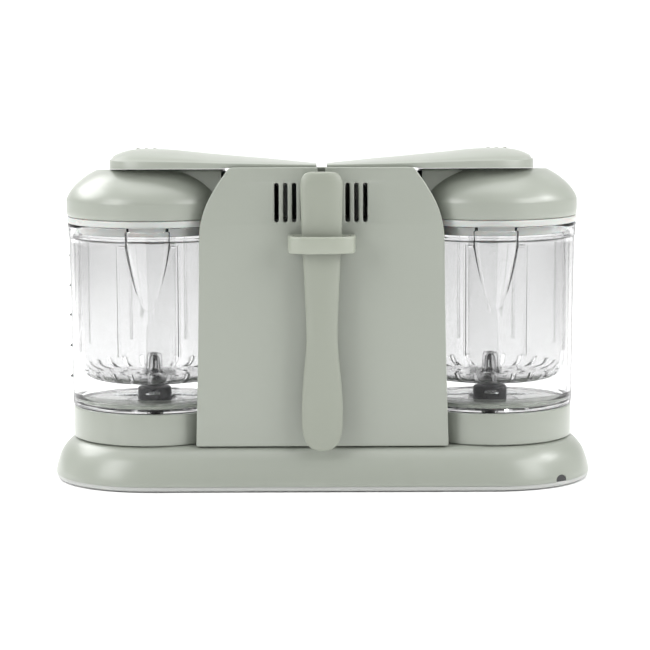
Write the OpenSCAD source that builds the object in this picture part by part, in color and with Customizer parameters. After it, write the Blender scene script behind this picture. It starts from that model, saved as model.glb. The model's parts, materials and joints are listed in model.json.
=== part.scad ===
// Twin-bowl baby food maker: steams and blends in two clear bowls.
// Millimetres. +Z up. The origin is the centre of the footprint on the resting plane.
// -Y is the back (spatula and vents), +Y is the user's side (buttons and bowl handles).
// Nodes ending in _r lie at +X, nodes ending in _l at -X.

/* [Bowls] */
// distance from the middle of the machine to each bowl axis
bowl_x = 122.2; // [122:0.1:122.6]
// number of raised level marks on each bowl
mark_count = 5; // [3:1:5]
// blade tip radius
blade_r = 31; // [26:1:33]
// width of the bowl handle
handle_w = 24; // [20:1:26]
// number of slots round the foot of each basket
basket_slots = 24; // [12:2:28]

/* [Casing] */
// number of vent slots in the rear panel
vent_count = 11; // [5:2:11]
// pitch of the vent slots
vent_pitch = 6.2; // [5.6:0.1:6.4]
// width of each vent slot
vent_w = 3.1; // [2:0.1:3.4]
// wall thickness of the column casing
wall = 2.8; // [2.4:0.1:3]

/* [Controls] */
// push button radius
button_r = 9; // [7:0.5:9.5]
// height of the upper pair of buttons
button_z1 = 122; // [118:1:128]
// height of the lower pair of buttons
button_z2 = 92; // [84:1:96]

/* [Spatula] */
// thickness of the spatula handle
spatula_t = 9; // [7:0.5:10]

/* [Hidden] */
$fn = 96;

bowl_axes = [[-bowl_x, 0], [bowl_x, 0]];
motor_x = 30;
boiler_x = 28;
button_x = 26;
nozzle_z = 216.5; // height of the steam nozzles
lug_angle = 30;   // direction of the first of three bayonet lugs
twist = 16;       // bayonet angle of the bowl

hinge_x = 7;
hinge_z = 225;
pin_r = 2;
knuckle_r = 3.6;

// the column top and the arms slope down towards the user
tip = 3.4;
tip_pivot = [0, -57, 229];

GREEN = [0.70, 0.74, 0.68];
PALE = [0.86, 0.86, 0.83];
CLEAR = [0.85, 0.9, 0.92, 0.35];
DARK = [0.12, 0.12, 0.13];
STEEL = [0.72, 0.73, 0.75];

// ---------------------------------------------------------------- outlines
// Catmull-Rom value between b and c
function curve_at(a, b, c, d, t) = 0.5 * (2 * b + (c - a) * t
  + (2 * a - 5 * b + 4 * c - d) * t * t + (3 * b - a - 3 * c + d) * t * t * t);
// smooth curve through a short list of points, each span cut into steps
function smooth(points, steps) = concat(
  [for (i = [0:len(points) - 2]) for (j = [0:steps - 1])
    let (
      a = points[max(i - 1, 0)],
      b = points[i],
      c = points[i + 1],
      d = points[min(i + 2, len(points) - 1)],
      t = j / steps
    )
    [curve_at(a[0], b[0], c[0], d[0], t), curve_at(a[1], b[1], c[1], d[1], t)]],
  [points[len(points) - 1]]);
function reversed(points) = [for (i = [len(points) - 1:-1:0]) points[i]];
// half an outline, followed by its mirror image across the vertical axis
function symmetric(half) = concat(half, [for (p = reversed(half)) [-p[0], p[1]]]);

// ---------------------------------------------------------------- placing and shaping
module left() mirror([1, 0, 0]) children();
module both() {
  children();
  left() children();
}
module at_bowl() translate([bowl_x, 0, 0]) children();
module at_each(spots) for (p = spots) translate([p[0], p[1], 0]) children();
module at_buttons() for (x = [-button_x, button_x]) for (z = [button_z1, button_z2])
  translate([x, 0, z]) children();
// copies spaced evenly round Z, the first at the start angle
module around(count, start = 0) for (i = [0:count - 1])
  rotate([0, 0, start + i * 360 / count]) children();
module tipped() translate(tip_pivot) rotate([-tip, 0, 0]) translate(-tip_pivot) children();

module box(corner, size) translate(corner) cube(size);
module post(r, z, h) translate([0, 0, z]) cylinder(r = r, h = h);
module rod_x(x, z, r, h) translate([x, 0, z]) rotate([0, 90, 0]) cylinder(r = r, h = h);
module rod_y(x, z, r, y0, y1) translate([x, y0, z]) rotate([-90, 0, 0]) cylinder(r = r, h = y1 - y0);
// a profile in (y, z) carried along X
module along_x(x0, x1) translate([x0, 0, 0]) rotate([90, 0, 90]) linear_extrude(x1 - x0) children();
// a profile in (x, z) carried along Y
module along_y(y0, y1) translate([0, y1, 0]) rotate([90, 0, 0]) linear_extrude(y1 - y0) children();
// a half section in (radius, z) carried round a stadium
module stadium() {
  for (side = [-1, 1]) translate([side * bowl_x, 0, 0]) rotate([0, 0, side > 0 ? -90 : 90])
    rotate_extrude(angle = 180, $fn = 120) children();
  along_x(-bowl_x, bowl_x) {
    children();
    mirror([1, 0]) children();
  }
}
// the half space under a plane through three points
module under(a, b, c) {
  raw = cross(b - a, c - a);
  unit = raw / norm(raw);
  up = unit[2] < 0 ? -unit : unit;
  translate(a) rotate([0, acos(up[2]), atan2(up[1], up[0])])
    box([-300, -300, -300], [600, 600, 300]);
}
// everything above a height in the sloping frame
module above(z) tipped() box([-200, -120, z], [400, 260, 60]);

// ---------------------------------------------------------------- base
deck_z = 30.7;       // top of the base
shell_z = 4.2;       // lower edge of the base shell
foot_r = 8;
screw_r = 1.45;
screw_hole_r = 1.5;

// half sections in (radius, z)
base_outside = smooth([[72.1, shell_z], [71.9, 7], [71.3, 10], [70.1, 14.2], [68.4, 18.6], [66, 22.8],
  [62.6, 26.8], [59.6, 29.1], [56.5, 30.4], [53, deck_z], [50, deck_z]], 2);
base_inside = [[50, 28.1], [55.6, 27.7], [58.4, 26.6], [61.2, 24.6], [64, 21.4], [66.3, 17],
  [68, 12], [69.3, 7], [69.5, shell_z]];
seat_section = [[55.6, 30.8], [57, 30.8], [57, 31.3], [58.6, 31.3], [58.6, 52.4], [58.4, 52.9],
  [57.9, 53.2], [21.1, 53.2], [21.1, 50.2], [55.6, 50.2]];
// places in (x, y)
base_bosses = [[-bowl_x, 54], [bowl_x, 54], [-bowl_x, -54], [bowl_x, -54], [0, 58], [0, -58]];
foot_spots = [[-152, 40], [152, 40], [-152, -40], [152, -40], [0, 0]];
// screws that tie the column to the base
tie_spots = [[-72, 46.5], [72, 46.5], [-72, -46.5], [72, -46.5]];
// left half of the cord opening and of the grommet in it, in (across, up)
cord_notch = [[-5, -1], [-5, 1.2], [-3.6, 3.6], [-1.4, 4.8]];
cord_grommet = [[-4.9, 0.05], [-4.9, 1.2], [-3.5, 3.5], [-1.3, 4.6]];

// cord exit on the back edge of the +X end; local +X points outwards
module at_cord_exit(z) translate([bowl_x + 47.4, -53.6, z]) rotate([0, 0, -48.6]) children();

module base_shell() color(GREEN) difference() {
  union() {
    difference() {
      stadium() polygon(concat(base_outside, [[0, deck_z], [0, shell_z]]));
      stadium() polygon(concat([[0, 4], [0, 28.1]], base_inside, [[69.5, 4]]));
    }
    at_each(base_bosses) post(4, 4.3, 24.4, $fn = 40);
    // housings of the drive bushes
    at_each(bowl_axes) post(13, 19, 10);
  }
  at_each(base_bosses) post(screw_hole_r, 4, 14, $fn = 32);
  at_each(bowl_axes) post(9, 18, 14);
  box([-44, -34, 26], [88, 68, 8]);
  at_each(tie_spots) post(1.9, 26, 8, $fn = 32);
  at_cord_exit(shell_z) along_x(-14, 12) polygon(symmetric(cord_notch));
}
module bottom_plate() color(PALE) difference() {
  stadium() polygon([[0, 0.8], [70.6, 0.8], [71.4, 1.6], [71.6, 2.6], [71.6, 4.15], [0, 4.15]]);
  at_each(base_bosses) {
    post(1.9, 0, 6, $fn = 32);
    post(3.8, 0, 2.4, $fn = 40);
  }
  at_each(foot_spots) post(foot_r + 0.1, 0, 1.8);
  // slots below the motors
  for (side = [-1, 1]) for (i = [-2:2]) box([side * motor_x + i * 7 - 1.5, -14, 0], [3, 28, 6]);
  at_cord_exit(shell_z) box([-2, -5, -1.6], [20, 10, 3]);
}
module feet() color(DARK) at_each(foot_spots) {
  cylinder(r = foot_r - 0.4, h = 0.6);
  post(foot_r, 0.6, 1.15);
}
module screws() color(STEEL) {
  at_each(base_bosses) difference() {
    union() {
      post(3.5, 1, 1.35, $fn = 40);
      post(screw_r, 2.3, 12, $fn = 32);
    }
    box([-2.4, -0.4, 0.5], [4.8, 0.8, 1.1]);
    box([-0.4, -2.4, 0.5], [0.8, 4.8, 1.1]);
  }
  at_each(tie_spots) {
    post(3, 25.6, 2.4, $fn = 40);
    post(screw_r, 27.9, 14, $fn = 32);
  }
}
module seat_ring() color(GREEN) at_bowl() difference() {
  rotate_extrude($fn = 144) polygon(seat_section);
  around(3, lug_angle + twist) box([18, -3.4, 48], [6.6, 6.8, 8]);
}

// ---------------------------------------------------------------- column
column_foot_z = 31;
panel_top_z = 228.3;
scallop_r = 64.6;         // hollows in the column beside the bowls
ring_peg_x = 19.5;
ring_peg_z = 175.7;
board_screw_x = 40;
board_screw_z = [72, 132];
switch_x = 40;            // lid switch plungers
switch_y = 17;

// +X side of the column in (x, z)
column_side = smooth([[89.3, column_foot_z], [88.5, 58], [87.3, 100], [86.6, 145], [86.3, 174],
  [85.7, 182], [84.7, 189], [82.9, 195.4], [80.6, 201.6], [78, 207], [74.8, 212.4], [71.5, 217.8],
  [68.1, 223], [65.3, 226.8], [64.1, panel_top_z]], 2);
// first point of the column side that belongs to the sloping top
tip_start = 8;
// stepped round-over of a panel: inner y, outer y, inset of the sides, inset of top and foot
panel_steps = [[57.2, 59, 0, 0], [59, 59.5, 0.35, 0.3], [59.5, 59.85, 0.9, 0.8],
  [59.85, 60, 1.6, 1.4]];

function column_outline(inset, top, foot = 0) =
  symmetric([for (p = column_side) [p[0] - inset, max(min(p[1], top), foot)]]);
// outline of the sloping top, wide open below it
function tip_outline(inset, top) = let (
  side = [for (i = [tip_start:len(column_side) - 1])
    [column_side[i][0] - inset, min(column_side[i][1], top)]]
) symmetric(concat([[110, -20], [110, side[0][1]]], side));
module tip_block(inset, top) tipped() along_y(-120, 120) polygon(tip_outline(inset, top));
module scallops(r) at_each(bowl_axes) post(r, 20, 220, $fn = 160);
// open channel along the top of the column, between the hinges
module channel(half_w, floor_z) tipped() box([-half_w, -70, floor_z], [2 * half_w, 140, 14]);

module column_block() intersection() {
  along_y(-57.1, 57.1) polygon(column_outline(0.6, 228));
  tip_block(0.3, 227.8);
}
// inside of the casing, leaving the walls, screw posts and board posts
module column_cavity() difference() {
  intersection() {
    // the foot is carried down through the underside
    along_y(-58, 54.3)
      polygon([for (p = column_outline(wall + 0.6, 226)) [p[0], p[1] < 31.5 ? 29 : p[1]]]);
    tip_block(wall + 0.3, 225);
  }
  scallops(scallop_r + wall);
  channel(17.2, 214.8);
  at_each(tie_spots) post(4.2, 30, 16, $fn = 40);
  for (x = [-board_screw_x, board_screw_x]) for (z = board_screw_z) rod_y(x, z, 3.2, 47.7, 56);
}
module column_knuckles() tipped() for (side = [-1, 1])
  for (y = [[-52, -44.2], [-8, 8], [44.2, 52]]) {
    rod_y(side * hinge_x, hinge_z, knuckle_r, y[0], y[1], $fn = 48);
    box([side * hinge_x - 2, y[0], 217], [4, y[1] - y[0], 6]);
  }
module column_shell() color(GREEN) difference() {
  union() {
    difference() {
      column_block();
      column_cavity();
      scallops(scallop_r);
      channel(14.4, 217.6);
    }
    column_knuckles();
  }
  tipped() both() rod_y(hinge_x, hinge_z, pin_r, -54, 54, $fn = 48);
  at_each(tie_spots) post(screw_hole_r, 30, 13, $fn = 32);
  at_buttons() rod_y(0, 0, 3.1, 50, 60, $fn = 48);
  both() rod_x(50, nozzle_z, 4.1, 14, $fn = 48);
  tipped() both() translate([switch_x, switch_y, 0]) post(1.7, 222, 9, $fn = 32);
}

// flat panel at the back
module panel() for (step = panel_steps) along_y(-step[1], -step[0])
  polygon(column_outline(step[2], panel_top_z - step[3], column_foot_z + step[3]));
// a slot with round ends
function slot_outline(width, z0, z1) = let (r = width / 2)
  [for (end = [[180, z0 + r], [0, z1 - r]]) for (i = [0:8]) let (angle = end[0] + i * 22.5)
    [r * cos(angle), end[1] + r * sin(angle)]];
module rear_panel() color(GREEN) difference() {
  panel();
  for (i = [0:vent_count - 1]) translate([-0.5 + (i - (vent_count - 1) / 2) * vent_pitch, 0, 0])
    along_y(-62, -56) polygon(slot_outline(vent_w, 190, 217.5));
  box([-2.8, -62, 224.2], [5.6, 6, 8]);
  for (x = [-ring_peg_x, ring_peg_x]) rod_y(x, ring_peg_z, 1.5, -62, -56, $fn = 32);
}
module front_panel() color(GREEN) difference() {
  intersection() {
    mirror([0, 1, 0]) panel();
    tip_block(-0.1, 228.2);
  }
  at_buttons() rod_y(0, 0, button_r + 0.2, 56, 62, $fn = 72);
}

// ---------------------------------------------------------------- spatula
spatula_y = -72;

// +X halves of the ring in (x, y)
ring_outside = concat([[23.5, -60.05]],
  smooth([[23.5, -72], [22.6, -77.5], [19, -81.6], [12, -84.2], [0, -85]], 4));
ring_inside = concat([[20, -63.6]],
  smooth([[20, -71.5], [19, -75.6], [15.6, -78.8], [9, -80.6], [0, -81.2]], 4));
// spatula half width in (x, z)
spatula_side = smooth([[0, 29.8], [4.5, 31], [8.6, 33.8], [11.6, 38], [13.5, 43.5], [14.2, 50],
  [14.2, 62], [13.6, 76], [12.2, 91], [11, 104], [11, 116], [11.8, 138], [12.9, 163], [13.8, 181],
  [14.5, 205], [14.8, 219], [14.2, 222.6], [11.4, 224.9], [6, 225.8], [0, 226]], 2);
// half thickness from blade to handle, in (y from the middle, z)
spatula_taper = [[0, 20], [1.3, 29.8], [1.7, 40], [2.1, 58], [3, 78], [4.2, 100],
  [spatula_t / 2, 118], [spatula_t / 2, 230]];

module spatula_ring() color(PALE) {
  difference() {
    translate([0, 0, 169.8]) linear_extrude(11.8) polygon(symmetric(ring_outside));
    translate([0, 0, 168]) linear_extrude(16) polygon(symmetric(ring_inside));
  }
  for (x = [-ring_peg_x, ring_peg_x]) rod_y(x, ring_peg_z, 1.45, -61, -56, $fn = 32);
}
module spatula() color(PALE) {
  intersection() {
    along_y(-82, -62) polygon(symmetric(spatula_side));
    translate([0, spatula_y, 0]) along_x(-20, 20) polygon(symmetric(spatula_taper));
  }
  // hanging lug on the face towards the column, resting on the ring
  box([-4, spatula_y + spatula_t / 2 - 1, 181.8], [8, 11.1 - spatula_t / 2, 5]);
}

// ---------------------------------------------------------------- inside the column
chassis_z = 34.2; // underside of the lower shelf
shelf_z = 108;    // underside of the upper shelf
shelf_t = 3;

module chassis() color(STEEL) difference() {
  union() {
    box([-2.5, -30, chassis_z], [5, 60, 154]);
    for (z = [chassis_z, shelf_z]) box([-52, -30, z], [104, 60, shelf_t]);
    for (x = [-49, 49]) for (y = [-22, 22]) box([x - 2.5, y - 3, 30.8], [5, 6, 5]);
    // corner posts
    for (x = [-52, 49]) for (y = [-30, 27])
      box([x, y, chassis_z], [3, 3, shelf_z + shelf_t - chassis_z]);
  }
  both() translate([motor_x, 0, 0]) post(8, 30, 10);
  both() translate([boiler_x, 0, 0]) post(10, 105, 10);
}
module control_board() color([0.1, 0.35, 0.2]) difference() {
  box([-46, 46, 64], [92, 1.6, 76]);
  for (x = [-board_screw_x, board_screw_x]) for (z = board_screw_z)
    rod_y(x, z, 1.6, 44, 50, $fn = 32);
}
module button_switches() color(DARK) at_buttons() {
  box([-4, 47.65, -4], [8, 2.2, 8]);
  rod_y(0, 0, 1.8, 49.7, 50.9, $fn = 32);
}
// push button: cap, raised face and stem
module button_at(x, z) color(PALE) {
  rod_y(x, z, button_r, 59.2, 62.6, $fn = 72);
  rod_y(x, z, button_r - 0.8, 62.5, 63.3, $fn = 72);
  rod_y(x, z, 3, 53.1, 59.3, $fn = 48);
}
module button_a() button_at(-button_x, button_z1);
module button_b() button_at(-button_x, button_z2);
module button_c() button_at(button_x, button_z1);
module button_d() button_at(button_x, button_z2);
module indicator_rings() color([0.9, 0.93, 0.9]) at_buttons() difference() {
  rod_y(0, 0, button_r + 3, 60.02, 60.9, $fn = 72);
  rod_y(0, 0, button_r + 0.6, 59, 62, $fn = 72);
}
module lid_switches() color(DARK) tipped() for (side = [-1, 1]) {
  box([side * switch_x - 5, 14, 216], [10, 6, 8.9]);
  translate([side * switch_x, switch_y, 0]) post(1.5, 224.8, 3.7, $fn = 32);
}
module power_cord() color(DARK) {
  translate([0, -47, 0]) rod_x(46, 9, 2.8, 100, $fn = 40);
  translate([144.5, -47.2, 8.9]) rotate([0, 94, -10]) cylinder(r = 2.7, h = 14, $fn = 40);
  translate([48, -47, 0]) post(2.4, 9.2, 18, $fn = 40);
  // moulded exit grommet
  at_cord_exit(4.25) along_x(-14, 0) polygon(symmetric(cord_grommet));
}

// ---------------------------------------------------------------- arms (at +X)
cover_t = 2.4;
dome_wall = 2.4;
dome_steps = 14;
gasket_r = 5.8;

// top edge in (x, z)
cover_top = smooth([[3.8, 231.2], [16, 232.6], [38, 234.8], [60, 236.7], [85, 239], [106, 241.2],
  [122, 242], [132, 241.7], [140, 240.6], [147, 238.2], [151.5, 235.4]], 3);
// underside in (x, z)
cover_bottom = [[151.6, 227.4], [68, 227.4], [66, 228.8], [3.8, 228.8]];
// +Y half of the plan in (x, y)
cover_plan = smooth([[151.5, 0], [151.3, 16], [150.2, 27], [147, 36], [141, 43], [130, 48.2],
  [114, 51.4], [94, 53.6], [60, 55.6], [30, 56.4], [3.8, 56.6]], 3);

// the faces that slope down to the edge on one side
module cover_slopes(side, drop) {
  crest = [122, side * 26, 239.4 - drop];
  intersection() {
    under([4, side * 56.6, 230.5 - drop], [130, side * 46, 233.2 - drop], crest);
    under([60, side * 30, 235.2 - drop], crest, [122, side * 8, 241.9 - drop]);
    under([151.5, 0, 235 - drop], [146, side * 37, 233.2 - drop], [141, 0, 241 - drop]);
  }
}
// the cover as a solid, drawn in and lowered by the inset
module cover_solid(inset) {
  half = [for (p = cover_plan) [p[0] - inset, p[1] - (p[1] > 1 ? inset : 0)]];
  intersection() {
    along_y(-60, 60) polygon([for (p = concat(cover_top, cover_bottom)) [p[0], p[1] - inset]]);
    translate([0, 0, 220]) linear_extrude(26)
      polygon(concat(half, [for (p = reversed(half)) [p[0], -p[1]]]));
    cover_slopes(1, inset);
    cover_slopes(-1, inset);
  }
}
module arm_cover() color(GREEN) tipped() difference() {
  union() {
    difference() {
      cover_solid(0);
      intersection() {
        cover_solid(cover_t);
        box([76, -60, 220], [70, 120, 30]);
      }
      // latch opening
      box([115.8, -8.2, 230], [23.2, 16.4, 16]);
      // narrow groove along the +Y side
      translate([53, 38.6, 232.6]) rotate([0, -3.6, 0]) cube([31, 1.1, 6]);
    }
    for (y = [-43.9, 30]) {
      rod_y(hinge_x, hinge_z, knuckle_r, y, y + 13.9, $fn = 48);
      box([hinge_x - 1.4, y, hinge_z + 1], [5, 13.9, 4.2]);
    }
  }
  rod_y(hinge_x, hinge_z, pin_r + 0.06, -60, 60, $fn = 48);
}

// an elliptical dome over the bowl and a tapering neck towards the column;
// foot is in (radius, z), neck in (x, z); inset is taken off the curve and its top
module dome_body(foot, inset, neck, near_y, far_y) {
  curve = [for (i = [0:dome_steps]) let (angle = i / dome_steps * 80)
    [(62 - inset) * cos(angle), 197 + (34.8 - inset) * sin(angle)]];
  at_bowl() rotate_extrude($fn = 144) polygon(concat(foot, curve, [[0, 231.4 - inset]]));
  intersection() {
    along_y(-40, 40) polygon(neck);
    linear_extrude(240) polygon([[70, -near_y], [70, near_y], [108, far_y], [108, -far_y]]);
  }
}
module arm_dome() color(GREEN) difference() {
  dome_body([[0, 191], [61.2, 191], [61.8, 194]], 0,
    [[71, 208], [71, 232], [106, 232], [106, 206]], 38, 31);
  above(227);
  difference() {
    dome_body([[0, 190], [59, 190], [59.4, 194]], dome_wall,
      [[73.4, 210.4], [73.4, 231], [106, 231], [106, 208.4], [84, 209.2]], 35.8, 28.8);
    above(224.7);
  }
  rod_x(60, nozzle_z, gasket_r, 20, $fn = 48);
}
module hinge_pin() color(STEEL) tipped() rod_y(hinge_x, hinge_z, pin_r, -54, 54, $fn = 48);
module latch() color(PALE) tipped() {
  box([113, -9.5, 234.8], [22, 19, 2.1]);
  box([116, -8, 236.8], [18.8, 16, 4.3]);
  // grip ribs
  for (x = [120, 126, 132]) box([x - 1, -7.2, 241], [2, 14.4, 1.4]);
}
module steam_gasket() color(DARK) difference() {
  rod_x(64.4, nozzle_z, gasket_r, 10, $fn = 48);
  rod_x(63.4, nozzle_z, 4.6, 12, $fn = 48);
}

// ---------------------------------------------------------------- bowl set
spout_y = -52;
blade_low_z = 59;
blade_high_z = 63;
blade_t = 1.2;
stem_r = 4;

// half sections in (radius, z)
lid_section = [[0, 188.6], [53.4, 188.6], [52.9, 179.4], [55.2, 179.4], [57.5, 186.25],
  [58.2, 186.25], [58.2, 187.25], [60.8, 187.25], [60.8, 186.25], [61.5, 186.25], [61.6, 187],
  [61.6, 190], [61.3, 190.7], [0, 190.7]];
spout_outside = smooth([[0, 126.5], [3.4, 128.6], [6, 134.6], [10, 144.6], [14, 158.6], [16, 168],
  [16.6, 174], [16.8, 179], [17.2, 183.6]], 2);
spout_inside = smooth([[0, 129.4], [2.6, 132], [4.4, 136.6], [8, 146], [12, 159.6], [13.9, 168.4],
  [14.5, 174], [14.7, 179], [15, 184]], 2);
bowl_outside = [[0, 53.4], [57.4, 53.4], [58.6, 54.2], [59.1, 55.8], [59.3, 62], [59.5, 106],
  [60, 150], [60.3, 175.4], [60.9, 176.2], [60.9, 182.6], [61.3, 183.4], [61.3, 185.4],
  [60.9, 186], [0, 186]];
bowl_inside = [[0, 55.9], [46, 55.9], [51.4, 56.6], [54.8, 58.6], [56.4, 61.8], [56.7, 66],
  [56.9, 106], [57, 150], [57, 176], [57.9, 176], [57.9, 187], [0, 187]];
basket_section = [[0, 88.4], [2.2, 88.2], [3, 87], [3.8, 76], [5.4, 72.6], [37, 72.6],
  [43.4, 73.1], [48.2, 74.9], [51.6, 77.9], [53.5, 82.2], [54.1, 89], [54.3, 110], [54.7, 172],
  [55.2, 174.8], [56.8, 176.06], [57.5, 176.06], [57.5, 178], [54, 178], [53, 176.6], [52.5, 172],
  [52.2, 110], [51.9, 90], [51.3, 83.6], [49.7, 79.6], [46.7, 76.8], [42.3, 75.3], [37, 74.8],
  [7.4, 74.8], [6.2, 76.4], [5.4, 88], [4.4, 90], [2.4, 90.6], [0, 90.6]];
hub_section = [[0, 56.3], [12.3, 56.3], [12.3, 62], [11.7, 65.6], [7.4, 66.6], [5.9, 67.4],
  [5.6, 68.6], [5, 69], [0, 69]];
// handle edges in (y, z), top to bottom
handle_outside = [[55, 181.6], [70, 181.6], [80, 180.2], [87, 176.6], [91, 170], [92.4, 160],
  [92, 120], [90.4, 96], [87, 80], [81, 68.5], [73, 61.6], [66, 59], [57, 58.6]];
handle_inside = [[50, 174], [69, 173.8], [77, 172.8], [82, 169.6], [84.6, 164], [85.2, 156],
  [85, 120], [83.6, 98], [80.6, 84.4], [76, 74.6], [70, 68.2], [64, 66], [50, 65.6]];
// underside of each level mark, top to bottom
mark_z = [161.2, 139.4, 118, 95.6, 73.2];
// basket floor holes: radius of the circle, number of holes
basket_holes = [[12, 8], [24, 16]];

module lid() color(PALE) at_bowl() difference() {
  rotate_extrude($fn = 144) polygon(lid_section);
  around(6) translate([24, 0, 0]) post(2.4, 186, 8, $fn = 32);
  post(2.4, 186, 8, $fn = 32);
}
module lid_seal() color([0.93, 0.93, 0.9]) at_bowl() rotate_extrude($fn = 144)
  polygon([[58.3, 186.05], [60.7, 186.05], [60.7, 187.2], [58.3, 187.2]]);

module bowl_body() difference() {
  union() {
    rotate_extrude($fn = 160) polygon(bowl_outside);
    translate([0, spout_y, 0]) rotate_extrude($fn = 96)
      polygon(concat(spout_outside, [[0, 183.6]]));
    // ears beside the spout
    both() box([15.5, -62, 171.4], [4.5, 8, 2.2]);
    along_x(-handle_w / 2, handle_w / 2)
      polygon(concat(handle_outside, reversed(handle_inside)));
    // skirt under the floor
    post(20.9, 45, 9);
    for (i = [0:mark_count - 1]) box([-60.9, -4, mark_z[i]], [4, 8, 1.4]);
  }
  rotate_extrude($fn = 160) polygon(bowl_inside);
  translate([0, spout_y, 0]) rotate_extrude($fn = 96)
    polygon(concat(spout_inside, [[15, 188], [0, 188]]));
  // hollow of the skirt, round a central boss
  difference() {
    post(18.2, 44, 9.5);
    post(7.5, 50, 6, $fn = 48);
  }
  post(stem_r + 0.06, 44, 16, $fn = 48);
}
module bowl_at(side) color(CLEAR) translate([side * bowl_x, 0, 0]) {
  bowl_body();
  // bayonet lugs
  around(3, lug_angle) box([20, -3, 46.8], [4, 6, 3.1]);
}

module basket() color(CLEAR) at_bowl() difference() {
  union() {
    rotate_extrude($fn = 144) polygon(basket_section);
    around(8, 22.5) box([53.3, -0.8, 94], [2.7, 1.6, 79.3]);
  }
  around(basket_slots) box([39.8, -1.6, 70], [19, 3.2, 11.6]);
  for (circle_of = basket_holes) around(circle_of[1])
    translate([circle_of[0], 0, 0]) post(1.7, 70, 8, $fn = 24);
}

// roots of both blade pairs, grown by a gap on the width and thickness
module blade_roots(gap) for (level = [[0, blade_low_z], [90, blade_high_z]])
  around(2, level[0]) box([6, -4 - gap, level[1] - gap], [8, 8 + 2 * gap, blade_t + 2 * gap]);
module blade_pair(start, z, outline) around(2, start)
  translate([0, 0, z]) linear_extrude(blade_t) polygon(outline);
module blade_hub() color(DARK) at_bowl() difference() {
  union() {
    rotate_extrude($fn = 96) polygon(hub_section);
    post(stem_r, 49.2, 8, $fn = 48);
  }
  blade_roots(0.05);
}
module blades() color(STEEL) at_bowl() {
  blade_roots(0);
  blade_pair(0, blade_low_z, [[12, -4], [20, -5.4], [blade_r - 4, -4.6], [blade_r, 1],
    [blade_r - 2, 5], [22, 2.4], [12, 4]]);
  blade_pair(90, blade_high_z, [[12, -4], [18, -5.2], [blade_r - 7, -4.4], [blade_r - 3, 1],
    [blade_r - 5, 4.6], [20, 2.2], [12, 4]]);
}

// ---------------------------------------------------------------- drive
shaft_r = 4;
spindle_r = 2.5;
dog_r = 12.6;
drive_pulley_r = 22;
motor_pulley_r = 8.8;
belt_gap = 0.3;
belt_t = 1.6;
// one belt tooth: fraction of the pitch, depth below the pulley radius
tooth_steps = [[0, 0], [0.3, 0], [0.42, 1.1], [0.88, 1.1]];

module dog_teeth(z0, z1, start) intersection() {
  around(3, start) box([6, -3, z0], [6, 6, z1 - z0]);
  post(12, 30, 20, $fn = 64);
}
module drive_dog() color(DARK) at_bowl() difference() {
  union() {
    post(dog_r, 33.4, 4.4, $fn = 64);
    dog_teeth(37, 44.4, 0);
  }
  post(shaft_r, 30, 20, $fn = 48);
}
module blade_dog() color(DARK) at_bowl() {
  post(dog_r, 44.8, 4.3, $fn = 64);
  dog_teeth(38.4, 46, 60);
}
module drive_shaft() color(STEEL) at_bowl() post(shaft_r, 8, 32, $fn = 48);
module drive_bush() color([0.75, 0.6, 0.35]) at_bowl() rotate_extrude($fn = 64)
  polygon([[shaft_r + 0.06, 19], [9, 19], [9, 30.75], [12, 30.75], [12, 32.8],
    [shaft_r + 0.06, 32.8]]);

function toothed(r, count) = [for (i = [0:count - 1]) for (step = tooth_steps)
  let (angle = 360 * (i + step[0]) / count) [(r - step[1]) * cos(angle), (r - step[1]) * sin(angle)]];
// toothed band between two flanges
module pulley_rim(r, count, flange_r) {
  translate([0, 0, 10]) linear_extrude(8) polygon(toothed(r, count));
  post(flange_r, 8.6, 1.4);
  post(flange_r, 18, 0.8);
}
module drive_pulley() color(DARK) at_bowl() difference() {
  pulley_rim(drive_pulley_r, 40, 24.6);
  cylinder(r = shaft_r, h = 30, $fn = 48);
  around(5) translate([13, 0, 0]) post(4.4, 5, 20, $fn = 40);
}
// open outline of a belt round circles at the origin and at a distance along +X
function belt_outline(r1, r2, distance) = let (a = acos((r1 - r2) / distance)) concat(
  [for (i = [0:36]) let (t = a + i * (360 - 2 * a) / 36) [r1 * cos(t), r1 * sin(t)]],
  [for (i = [0:24]) let (t = -a + i * 2 * a / 24) [distance + r2 * cos(t), r2 * sin(t)]]);
module belt_area(gap) polygon(
  belt_outline(drive_pulley_r + gap, motor_pulley_r + gap, bowl_x - motor_x));
module drive_belt() color(DARK) at_bowl() mirror([1, 0, 0]) translate([0, 0, 10.6])
  linear_extrude(6.6) difference() {
    belt_area(belt_gap + belt_t);
    belt_area(belt_gap);
  }
module motor() color([0.55, 0.56, 0.58]) translate([motor_x, 0, 0]) difference() {
  union() {
    post(21, 37.25, 58);
    post(17, 95, 4);
    box([-12, -23, 44], [24, 46, 40]);
  }
  post(spindle_r + 0.06, 30, 40, $fn = 40);
}
module motor_spindle() color(STEEL) translate([motor_x, 0, 0]) post(spindle_r, 8, 60, $fn = 40);
module motor_pulley() color(DARK) translate([motor_x, 0, 0]) difference() {
  union() {
    pulley_rim(motor_pulley_r, 16, 11.4, $fn = 64);
    post(5, 18, 5, $fn = 48);
  }
  cylinder(r = spindle_r, h = 30, $fn = 40);
}

// ---------------------------------------------------------------- steam
pipe_r = 4;
pipe_bore_r = 2.2;
// half sections in (radius, z)
boiler_section = [[0, 117.4], [19, 117.4], [20.5, 119], [20.5, 182], [23, 182], [23, 184],
  [19.3, 184], [19.3, 119.8], [0, 119.8]];
cap_section = [[0, 184.2], [23, 184.2], [23, 187.6], [21, 189], [0, 189]];

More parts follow.
